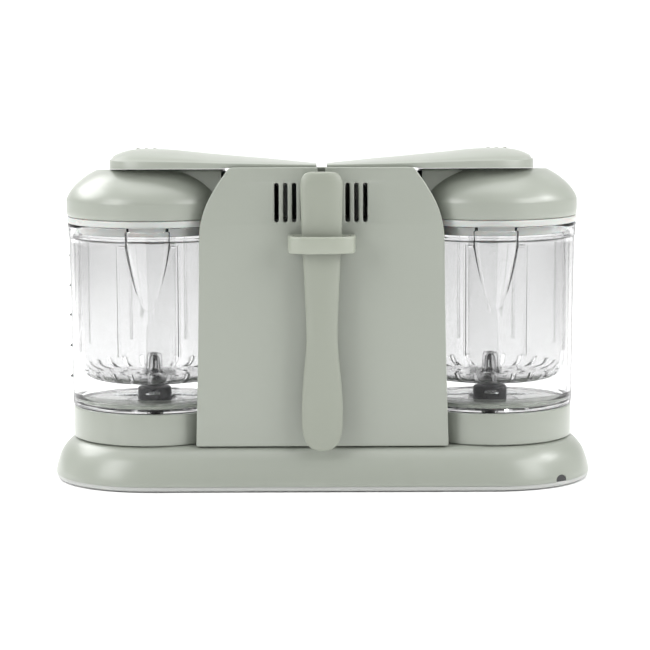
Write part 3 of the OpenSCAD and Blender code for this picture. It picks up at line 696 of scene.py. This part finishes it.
def build_spatula_ring():
    loops = [band_outline(RING_HIGH.x, REAR_LOW.y - 0.05, RING_LOW.y),
             band_outline(20, -63.6, -81.2)]
    band = plate("ring_band", loops, RING_HIGH.z - RING_LOW.z, 1.1,
                 lambda u, v, w: (u, v, RING_LOW.z + w), SOFT_GREEN, resolution=4)
    stand(band, "base", "spatula_ring")


def build_spatula():
    centre_y = -72.0
    # (z, half width in x)
    widths = [(29.8, 1.2), (30.6, 5.6), (33.2, 9.4), (37.4, 12), (43, 13.6), (50, 14.25),
              (62, 14.2), (76, 13.5), (91, 12.2), (104, 11), (116, 10.9), (138, 11.7),
              (163, 12.9), (181, 13.8), (205, 14.5), (215.5, 14.75), (219.2, 14.4),
              (222, 13.5), (224.2, 11.9), (225.5, 9.8), (226, 7.4)]
    # (z, half thickness in y)
    thicknesses = [(29.8, 0.8), (31, 1.3), (40, 1.75), (58, 2.2), (78, 3.1), (100, 4.0),
                   (118, 4.5), (180, 4.5), (216, 4.5), (220, 4.25), (223, 3.7),
                   (224.8, 3.0), (225.6, 2.3), (226, 1.5)]
    count = 64
    stations = []
    for z, half_width in smooth_curve(widths, 4):
        half_thickness = interpolate(thicknesses, z)
        # superellipse sections: elliptical above z = 100, squarer towards the bottom
        power = 2 / (2.0 + 0.7 * clamp((100 - z) / 40))
        ring = []
        for i in range(count):
            turn = 2 * math.pi * i / count
            ring.append((half_width * signed_power(math.cos(turn), power),
                         centre_y + half_thickness * signed_power(math.sin(turn), power), z))
        stations.append(ring)
    peg = block(-4, 4, centre_y + 3.2, -61.9, 181.8, 186.8, 0.8, 3)
    spatula = make("spatula_look", [loft(stations), peg], SPATULA_GREEN, 50)
    fit(spatula, "spatula")
    stand(spatula, "spatula_tool", "spatula")


def build_buttons():
    """Four dished buttons on stems, with a ring round each."""
    rings_low, rings_high = box_mm("indicator_rings")
    rings = []
    for letter in BUTTONS:
        low, high = box_mm("button_" + letter)
        centre = (low + high) / 2
        radius = (high.x - low.x) / 2
        face = high.y
        back = face - 4.1
        profile = [(0, low.y), (2.6, low.y), (3, low.y + 0.4), (3, back), (radius - 0.3, back),
                   (radius, back + 0.3), (radius, face - 1.5), (radius - 0.35, face - 0.5),
                   (radius - 1.1, face), (radius - 2.2, face - 0.15),
                   (radius - 4.5, face - 0.65), (radius - 6.6, face - 0.9), (0, face - 1.0)]
        button = make("button_%s_look" % letter,
                      [lathe_y(profile, 72, centre.x, 0, centre.z)], SOFT_GREEN)
        stand(button, "push_" + letter, "button_" + letter)
        y0, y1 = rings_low.y, rings_high.y
        band = [(radius + 0.6, y0), (radius + 3, y0), (radius + 3, y1 - 0.3),
                (radius + 2.5, y1), (radius + 1.1, y1), (radius + 0.6, y1 - 0.3)]
        rings.append(lathe_y(band + band[:1], 72, centre.x, 0, centre.z))
    stand(make("indicator_rings_look", rings, OFF_WHITE), "base", "indicator_rings")


# ---------------------------------------------------------------- arms
def build_arm_cover():
    root_x, spine_end = 3.8, 108.0
    # (x, half width), from the outer end to the root
    plan = smooth_curve([(151.5, 0), (151.3, 16), (150.2, 27), (147, 36), (141, 43),
                         (130, 48.2), (114, 51.4), (94, 53.6), (60, 55.6), (30, 56.4),
                         (root_x, 56.6)], 6)
    # (x, z) along the middle and along the rim of the top
    crest = smooth_curve([(root_x, 231.2), (16, 232.6), (38, 234.8), (60, 236.7), (85, 239),
                          (106, 241.2), (122, 242), (132, 241.7), (140, 240.5),
                          (147, 238.0), (151.5, 235.3)], 4)
    rim = smooth_curve([(root_x, 230.3), (60, 231.3), (100, 232.4), (130, 233.0),
                        (147, 233.6), (151.5, 234.7)], 4)
    half_widths = plan[::-1]
    outline = (plan + [(root_x, y) for y in (40, 20, 0, -20, -40)]
               + [(x, -y) for x, y in reversed(plan[1:])])

    def top_z(x, y, scale):
        across = 1.0 if scale > 0.99 else min(1.0, abs(y) / interpolate(half_widths, x))
        rim_z = interpolate(rim, x)
        return rim_z + (interpolate(crest, x) - rim_z) * (1 - across ** 3.2)

    def ring(scale, lift, inset, on_top):
        """The outline shrunk towards its spine and inset, on the top or the underside."""
        points = []
        for x, y in outline:
            spine_x = min(max(x, root_x), spine_end)
            px, py = spine_x + (x - spine_x) * scale, y * scale
            reach = math.hypot(x - spine_x, y)
            if reach > 1:
                px -= (x - spine_x) / reach * inset
                py -= y / reach * inset
            if on_top:
                z = top_z(px, py, scale) + lift
            else:
                z = lift + 228.75 if px < 66.5 else 227.4
            points.append((px, py, z))
        return points

    # (scale, lift, inset)
    top = [(scale, 0, 0) for scale in (0.0, 0.15, 0.3, 0.45, 0.58, 0.7, 0.8, 0.88, 0.94)]
    top += [(1, 0.05, 1.0), (1, -0.12, 0.45), (1, -0.45, 0.1), (1, -0.8, 0)]
    under = [(1, -0.1, 0), (1, -0.4, 0.15), (1, -0.5, 0.5), (1, -0.5, 1.5), (1, 0, 1.9),
             (0.5, 0, 0), (0.02, 0, 0)]
    stations = [ring(*row, True) for row in top] + [ring(*row, False) for row in under]
    cover = make("arm_cover_look_r", [loft(stations, cap=False)], GREEN, 30, merge=0.02)

    # recess for the latch, and a narrow groove near the +Y edge that climbs with the top
    recess = block(LATCH_LOW.x + 2.8, box_mm("arm_cover_r")[1].x - 12.5, -8.2, 8.2,
                   232.6, 250, 1.5, 3)
    groove_x = 53
    groove = moved(block(groove_x, 84, 38.6, 39.7, 231.9, 244, 0.3),
                   lambda p: (p[0], p[1], p[2] + 0.063 * (p[0] - groove_x)))
    cut(cover, [recess, groove])

    # two hinge knuckles, each with a web up to the cover
    length = 13.9
    knuckle = [(2.06, 0), (3.4, 0), (3.6, 0.2), (3.6, length - 0.2), (3.4, length),
               (2.06, length), (2.06, 0)]
    for y in (-43.9, 30):
        weld(cover, [lathe_y(knuckle, 40, HINGE_X, y, HINGE_Z)])
        weld(cover, [block(HINGE_X + 0.4, HINGE_X + 3.4, y, y + length,
                           HINGE_Z + 2.4, HINGE_Z + 5, 0.2, 1)])
    for v in cover.data.vertices:
        v.co = Vector(tilt(v.co * MM)) / MM
    tidy(cover, 0.005)
    shade(cover, 30)
    fit(cover, "arm_cover_r", "xy")
    stand_pair(cover, "arm_cover", "arm")


def build_latch():
    """A slide with a raised pad and three grip ridges."""
    shapes = [block(LATCH_LOW.x, LATCH_HIGH.x, -9.5, 9.5, 234.8, 236.9, 0.5),
              block(LATCH_LOW.x + 3, LATCH_HIGH.x - 0.2, -8, 8, 236.2, 241.1, 1.0, 3)]
    shapes += [block(x - 1.1, x + 1.1, -7.0, 7.0, 240.6, 242.4, 0.7, 3) for x in (120, 126, 132)]
    latch = make("latch_look_r", [moved(shape, tilt) for shape in shapes], SOFT_GREEN, 40)
    stand_pair(latch, "latch", "latch_slide")


def above(z):
    """Everything over a height of the sloping deck frame."""
    return moved(block(40, 220, -90, 90, z, z + 40, 0), tilt)


def neck(x0, x1, half0, half1, bottom0, bottom1, top_z, radius):
    """Rounded bar along X: half width and bottom change from x0 to x1, and the top slopes
    with the deck through top_z at the pivot line."""
    stations = []
    for step in range(9):
        t = step / 8
        half = half0 + (half1 - half0) * t - radius
        bottom = bottom0 + (bottom1 - bottom0) * t
        ring = []
        for corner_y, start in ((half, 0), (-half, 90), (-half, 180), (half, 270)):
            for i in range(7):
                turn = math.radians(start + 90 * i / 6)
                y = corner_y + radius * math.cos(turn)
                if start < 180:
                    corner_z = top_z - (y - PIVOT_Y) * SLOPE_SIN / SLOPE_COS - radius
                else:
                    corner_z = bottom + radius
                ring.append((x0 + (x1 - x0) * t, y, corner_z + radius * math.sin(turn)))
        stations.append(ring)
    return loft(stations)


def build_dome():
    centre_z = 197.0
    top_z, ceiling_z = 227.0, 224.7  # in the sloping deck frame
    outer = [(0, 191.0), (40, 191.0), (61.0, 191.0), (61.45, 191.4), (61.8, 192.6),
             (61.95, 195), (61.95, 202.4), (61.9, 203.0)]
    for i in range(9, 53):
        turn = math.radians(86 * i / 52)
        z = centre_z + 34.8 * math.sin(turn)
        # the lower wall stands a little outside the arc
        outer.append((62 * math.cos(turn) + 0.85 * clamp((216 - z) / 13), z))
    outer.append((0, 231.75))
    inner = [(0, 189.0), (59.0, 189.0), (59.0, 191.3), (59.4, 194)]
    for i in range(31):
        turn = math.radians(86 * i / 30)
        inner.append((59.6 * math.cos(turn), centre_z + 32.4 * math.sin(turn)))
    inner.append((0, 229.3))

    dome = make("arm_dome_look_r", [lathe(outer, 192)], GREEN, 30)
    weld(dome, [neck(71.0, 106, 38, 31, 208, 206.2, top_z, 2.4)])
    cut(dome, [above(top_z)])
    core = helper([lathe(inner, 160)])
    cut(core, [above(ceiling_z)])
    boolean(dome, core, "DIFFERENCE")
    cut(dome, [neck(73.4, 104, 35.6, 29, 210.4, 208.8, ceiling_z, 1.2)])
    # hole along X through the neck's inner end, level with the steam gasket
    gasket_z = centre_mm("steam_gasket_r").z
    cut(dome, [moved(cylinder(5.8, 60, 78, 48, (0, 0)), lambda p: (p[2], p[1], gasket_z - p[0]))])
    tidy(dome, 0.004)
    shade(dome, 32)
    stand_pair(dome, "arm_dome", "arm")


def build_lid():
    profile = [(0, 188.6), (30, 188.6), (53.4, 188.6), (53.2, 186), (52.9, 179.7),
               (53.3, 179.4), (54.8, 179.4), (55.3, 179.8), (57.45, 186.25), (58.2, 186.25),
               (58.2, 187.25), (60.8, 187.25), (60.8, 186.25), (61.2, 186.25),
               (61.5, 186.5), (61.6, 187.1), (61.6, 189.9), (61.45, 190.4), (61.0, 190.7),
               (40, 190.7), (0, 190.7)]
    lid = make("lid_look_r", [lathe(profile, 160)], LID_WHITE, 30)
    cut(lid, [cylinder(2.4, 186, 194, 32, place)
              for place in circle(*BOWL_AXIS, 24, 6) + [BOWL_AXIS]])
    shade(lid, 30)
    stand_pair(lid, "lid", "arm")


# ---------------------------------------------------------------- bowl and its contents
def handle():
    """A rounded strap swept along a D on the +Y side."""
    # (y, z), from the top round to the bottom
    path = smooth_curve([(55.5, 177.8), (66, 177.8), (75, 177.0), (82, 174.0), (86.6, 168.6),
                         (88.6, 160), (88.8, 146), (88.5, 120), (87.0, 98), (83.8, 82),
                         (78.6, 71.6), (72, 65.2), (65, 62.4), (55.5, 62.0)], 4)
    count = 40
    stations = []
    for i, (y, z) in enumerate(path):
        y0, z0 = path[max(i - 1, 0)]
        y1, z1 = path[min(i + 1, len(path) - 1)]
        length = math.hypot(y1 - y0, z1 - z0)
        normal_y, normal_z = (z1 - z0) / length, -(y1 - y0) / length
        ring = []
        for j in range(count):
            turn = 2 * math.pi * j / count
            across = 12.0 * signed_power(math.cos(turn), 0.42)
            out = 3.65 * signed_power(math.sin(turn), 0.62)
            ring.append((AXIS_X + across, y + normal_y * out, z + normal_z * out))
        stations.append(ring)
    return loft(stations)


def build_bowl():
    # (radius, z) profiles
    outer = [(0, 45.0), (20.3, 45.0), (20.9, 45.6), (20.9, 53.4), (40, 53.4), (56.4, 53.4)]
    outer += smooth_curve([(57.2, 53.45), (58.3, 54.0), (58.95, 55.2), (59.2, 57.5),
                           (59.3, 62), (59.5, 106), (60, 150), (60.3, 175.4)], 3)
    outer += [(60.45, 175.9), (60.8, 176.3), (60.9, 176.9), (60.9, 182.4), (61.0, 182.9),
              (61.25, 183.4), (61.3, 184), (61.3, 185.2), (61.1, 185.75), (60.6, 186),
              (30, 186), (0, 186)]
    inner = [(0, 55.9), (30, 55.9)]
    inner += smooth_curve([(44, 55.9), (49.5, 56.2), (53.2, 57.6), (55.6, 60.2), (56.5, 63.5),
                           (56.7, 68), (56.9, 106), (57, 150), (57, 175.6)], 4)
    inner += [(57.15, 175.95), (57.6, 176.1), (57.85, 176.4), (57.9, 177), (57.9, 184.8),
              (58.3, 185.6), (58.8, 186.1), (59, 190), (0, 190)]
    # tapered bulge in the -Y wall, turned about its own axis
    bulge_axis = (AXIS_X, -52)
    bulge = smooth_curve([(0.0, 119.5), (4.6, 121.4), (7.9, 127.6), (9.6, 134.5), (12.3, 146),
                          (15.2, 161), (16.7, 171), (17.1, 178), (17.3, 183.2)], 5)
    bulge += [(17.1, 183.6), (0, 183.6)]
    bulge_inside = smooth_curve([(0.0, 122.5), (3.0, 124.4), (5.8, 130), (7.4, 136.4),
                                 (10.1, 147), (13.0, 161.6), (14.5, 171.4), (14.9, 178),
                                 (15.1, 184)], 4)
    bulge_inside += [(15.2, 190), (0, 190)]
    # stepped ring hollow in the underside; its last point repeats the first
    bottom_hollow = [(4.06, 42), (18.2, 42), (18.2, 53.0), (17.8, 53.5), (7.9, 53.5),
                     (7.5, 53.1), (7.5, 50.0), (4.06, 50.0), (4.06, 42)]

    bowl = make("bowl_look_r", [lathe(outer, 192)], CLEAR, 30)
    weld(bowl, [lathe(bulge, 96, bulge_axis)])
    weld(bowl, [handle()])
    # a small bar on each side of the bulge
    bar_centres = [AXIS_X + side * 17.75 for side in (-1, 1)]
    weld(bowl, [block(x - 2.25, x + 2.25, -62, -54, 171.4, 173.6, 0.5) for x in bar_centres])
    # five short marks up the -X side
    weld(bowl, [block(AXIS_X - 60.7, AXIS_X - 57.6, -4.2, 4.2, z, z + 1.4, 0.35)
                for z in (161.2, 139.4, 118, 95.6, 73.2)])
    cut(bowl, [lathe(inner, 192)])
    cut(bowl, [lathe(bulge_inside, 96, bulge_axis)])
    cut(bowl, [lathe(bottom_hollow, 96, closed=False)])
    cut(bowl, [cylinder(4.06, 40, 60, 48)])
    tidy(bowl, 0.005)
    shade(bowl, 32)

    # the faces of the marks that stand out of the tapering wall turn grey
    bowl.data.materials.append(GREY_MARK)
    for face in bowl.data.polygons:
        x, y, z = face.center.x * MM, face.center.y * MM, face.center.z * MM
        wall_radius = 59.3 + (z - 62) * 0.00885
        if (x < AXIS_X - 50 and abs(y) < 4.6 and z < 165
                and math.hypot(x - AXIS_X, y) > wall_radius + 0.12):
            face.material_index = 1
    stand_pair(bowl, "bowl", "bowl_set", mirror=False)


def build_basket():
    # (radius, z): under the central cone, out and up the wall to the rim
    profile = [(0, 88.3), (2.2, 88.1), (3, 87), (3.8, 76), (5.4, 72.6), (20, 72.6)]
    profile += smooth_curve([(28, 72.6), (37, 72.6), (43.4, 73.1), (48.2, 74.9), (51.6, 77.9),
                             (53.5, 82.2), (54.1, 89), (54.3, 110), (54.7, 172)], 4)
    profile += [(55.0, 174.2), (55.7, 175.3), (57.1, 176.0), (57.5, 176.5), (57.5, 177.6),
                (57.1, 178)]
    # down the inside and over the cone
    profile += [(54.4, 178), (53.6, 177.6), (52.8, 175)]
    profile += smooth_curve([(52.5, 172), (52.2, 110), (51.9, 90), (51.3, 83.6), (49.7, 79.6),
                             (46.7, 76.8), (42.3, 75.3), (37, 74.8), (27, 74.8)], 4)
    profile += [(10, 74.8), (7.4, 74.9), (6.5, 75.6), (6.2, 76.8), (5.4, 88), (5.1, 89.2),
                (4.3, 90.1), (2.4, 90.6), (0, 90.6)]
    basket = make("basket_look_r", [lathe(profile, 192)], FROSTED, 32)
    # eight upright ribs outside the wall
    weld(basket, [block_round_axis(22.5 + 45 * i, 53.0, 55.9, -0.8, 0.8, 94, 173.3, 0.35)
                  for i in range(8)])
    # slots round the bottom corner, then two circles of holes in the floor
    cutters = [block_round_axis(15 * i, 39.8, 58.4, -1.6, 1.6, 69, 81.6, 1.0, 3)
               for i in range(24)]
    for radius, count in ((12, 8), (24, 16)):
        cutters += [cylinder(1.7, 70, 78, 20, place)
                    for place in circle(*BOWL_AXIS, radius, count)]
    cut(basket, cutters)
    tidy(basket, 0.005)
    shade(basket, 32)
    stand_pair(basket, "basket", "bowl_set")


def build_blade_hub():
    profile = [(0, 49.2), (3.6, 49.2), (4, 49.6), (4, 56.3), (11.9, 56.3), (12.3, 56.7),
               (12.3, 62)]
    profile += smooth_curve([(12.3, 62.4), (11.9, 65), (10.2, 66.1), (7.6, 66.7), (6.1, 67.4),
                             (5.7, 68.2), (5.1, 68.9)], 4)
    profile.append((0, 69))
    hub = make("blade_hub_look_r", [lathe(profile, 96)], BLACK)
    stand_pair(hub, "blade_hub", "drive")


def blade(reach, bottom, degrees, bend):
    """A swept blade with a ridged edge; its tip rises by bend."""
    half_thickness, ridge = 0.6, 0.14
    outline = smooth_curve([(8, -3.6), (14, -4.4), (20, -5.2), (reach - 5, -4.6),
                            (reach - 1.4, -2.2), (reach, 1.2), (reach - 2, 4.6),
                            (reach - 9, 3.4), (18, 2.6), (12, 3.6), (8, 3.6)], 4)
    middle_x, middle_y = 0.55 * reach, -0.6
    layers = []
    for height, out in ((-half_thickness, 0), (-0.1, ridge), (0.1, ridge), (half_thickness, 0)):
        layer = []
        for x, y in outline:
            distance = math.hypot(x - middle_x, y - middle_y)
            px = x + (x - middle_x) / distance * out
            py = y + (y - middle_y) / distance * out
            along = max(0, (px - 14) / (reach - 14))
            z = bottom + half_thickness + height * (1 - 0.35 * along) + bend * along * along
            layer.append(spin(px, py, z, degrees))
        layers.append(layer)
    return loft(layers)


def build_blades():
    """A low pair of blades and a high pair across it."""
    shapes = []
    for degrees in (0, 180):
        shapes.append(blade(reach=31, bottom=59.3, degrees=degrees, bend=-0.25))
        shapes.append(blade(reach=28, bottom=62.6, degrees=degrees + 90, bend=0.7))
    blades = make("blades_look_r", shapes, STEEL, 40)
    fit(blades, "blades_r")
    stand_pair(blades, "blades", "drive")


# ---------------------------------------------------------------- studio, in metres
def build_floor():
    """White floor that curves up into a wall behind the machine."""
    bend_y, radius, steps = 1.6, 1.2, 24
    profile = [(-4.0, 0.0), (bend_y, 0.0)]
    for i in range(1, steps + 1):
        turn = math.pi / 2 * i / steps
        profile.append((bend_y + radius * math.sin(turn), radius - radius * math.cos(turn)))
    profile.append((2.8, 5.0))
    verts = [(x, y, z) for y, z in profile for x in (-6, 6)]
    faces = [(2 * i, 2 * i + 1, 2 * i + 3, 2 * i + 2) for i in range(len(profile) - 1)]
    mesh = bpy.data.meshes.new("studio_floor")
    mesh.from_pydata(verts, [], faces)
    mesh.shade_smooth()
    floor = link_object("studio_floor", mesh)
    material, _, shader = surface("studio_white", (0.93, 0.93, 0.93), roughness=0.75,
                                  noise_scale=2.0, color_drift=0.004, roughness_drift=0.02,
                                  grain=0.0)
    shader.inputs["Specular IOR Level"].default_value = 0.1
    mesh.materials.append(material)


def build_world():
    """White surroundings, dim on the camera's side and brighter towards +Y."""
    world = bpy.data.worlds.new("studio")
    bpy.context.scene.world = world
    world.use_nodes = True
    tree = world.node_tree
    background = tree.nodes["Background"]
    direction = add_node(tree, "TexCoord").outputs["Generated"]
    split = add_node(tree, "SeparateXYZ")
    tree.links.new(direction, split.inputs["Vector"])
    strength = add_node(tree, "MapRange", From_Min=-1.0, From_Max=0.6, To_Min=0.08, To_Max=1.0)
    tree.links.new(split.outputs["Y"], strength.inputs["Value"])
    tree.links.new(strength.outputs["Result"], background.inputs["Strength"])
    background.inputs["Color"].default_value = (1, 1, 1, 1)


def add_light(name, place, target, size, power):
    """Rectangular light of size (width, height) aimed at the target."""
    light = bpy.data.lights.new(name, "AREA")
    light.shape = "RECTANGLE"
    light.size, light.size_y = size
    light.energy = power
    ob = bpy.data.objects.new(name, light)
    ob.location = place
    aim = Vector(target) - Vector(place)
    ob.rotation_euler = aim.to_track_quat("-Z", "Y").to_euler()
    bpy.context.scene.collection.objects.link(ob)


# name, place, target, (width, height), power in watts
LIGHTS = [
    ("soft_left", (-1.35, -1.0, 0.95), (0, 0, 0.12), (0.8, 1.2), 19),
    ("soft_right", (1.35, -1.0, 0.95), (0, 0, 0.12), (0.8, 1.2), 17),
    ("soft_top", (0, 0.1, 1.9), (0, 0, 0.1), (1.8, 1.4), 19),
    ("soft_back", (0, 1.5, 1.3), (0, 1.9, 0.4), (2.6, 0.8), 16),
    ("glint_left", (-0.98, 0.52, 0.98), (-0.12, 0, 0.2), (0.95, 0.62), 13),
    ("glint_right", (1.12, -0.11, 0.80), (0.12, 0, 0.2), (0.42, 0.36), 6),
]


def build_camera():
    pitch_down, roll = 7.12, -0.20  # degrees
    camera = bpy.data.cameras.new("view")
    camera.lens = 138.46
    camera.sensor_width = 36
    camera.clip_end = 50
    ob = bpy.data.objects.new("view", camera)
    ob.matrix_world = (Matrix.Translation((0.0021, -1.804, 0.3354))
                       @ Matrix.Rotation(math.radians(90 - pitch_down), 4, "X")
                       @ Matrix.Rotation(math.radians(roll), 4, "Z"))
    bpy.context.scene.collection.objects.link(ob)
    bpy.context.scene.camera = ob
    bpy.context.scene.view_settings.view_transform = "Standard"


build_base_shell()
build_tray()
build_feet()
build_seat_rings()
build_panels()
build_spatula_ring()
build_spatula()
build_buttons()
build_arm_cover()
build_latch()
build_dome()
build_lid()
build_bowl()
build_basket()
build_blade_hub()
build_blades()
build_floor()
build_world()
for row in LIGHTS:
    add_light(*row)
build_camera()
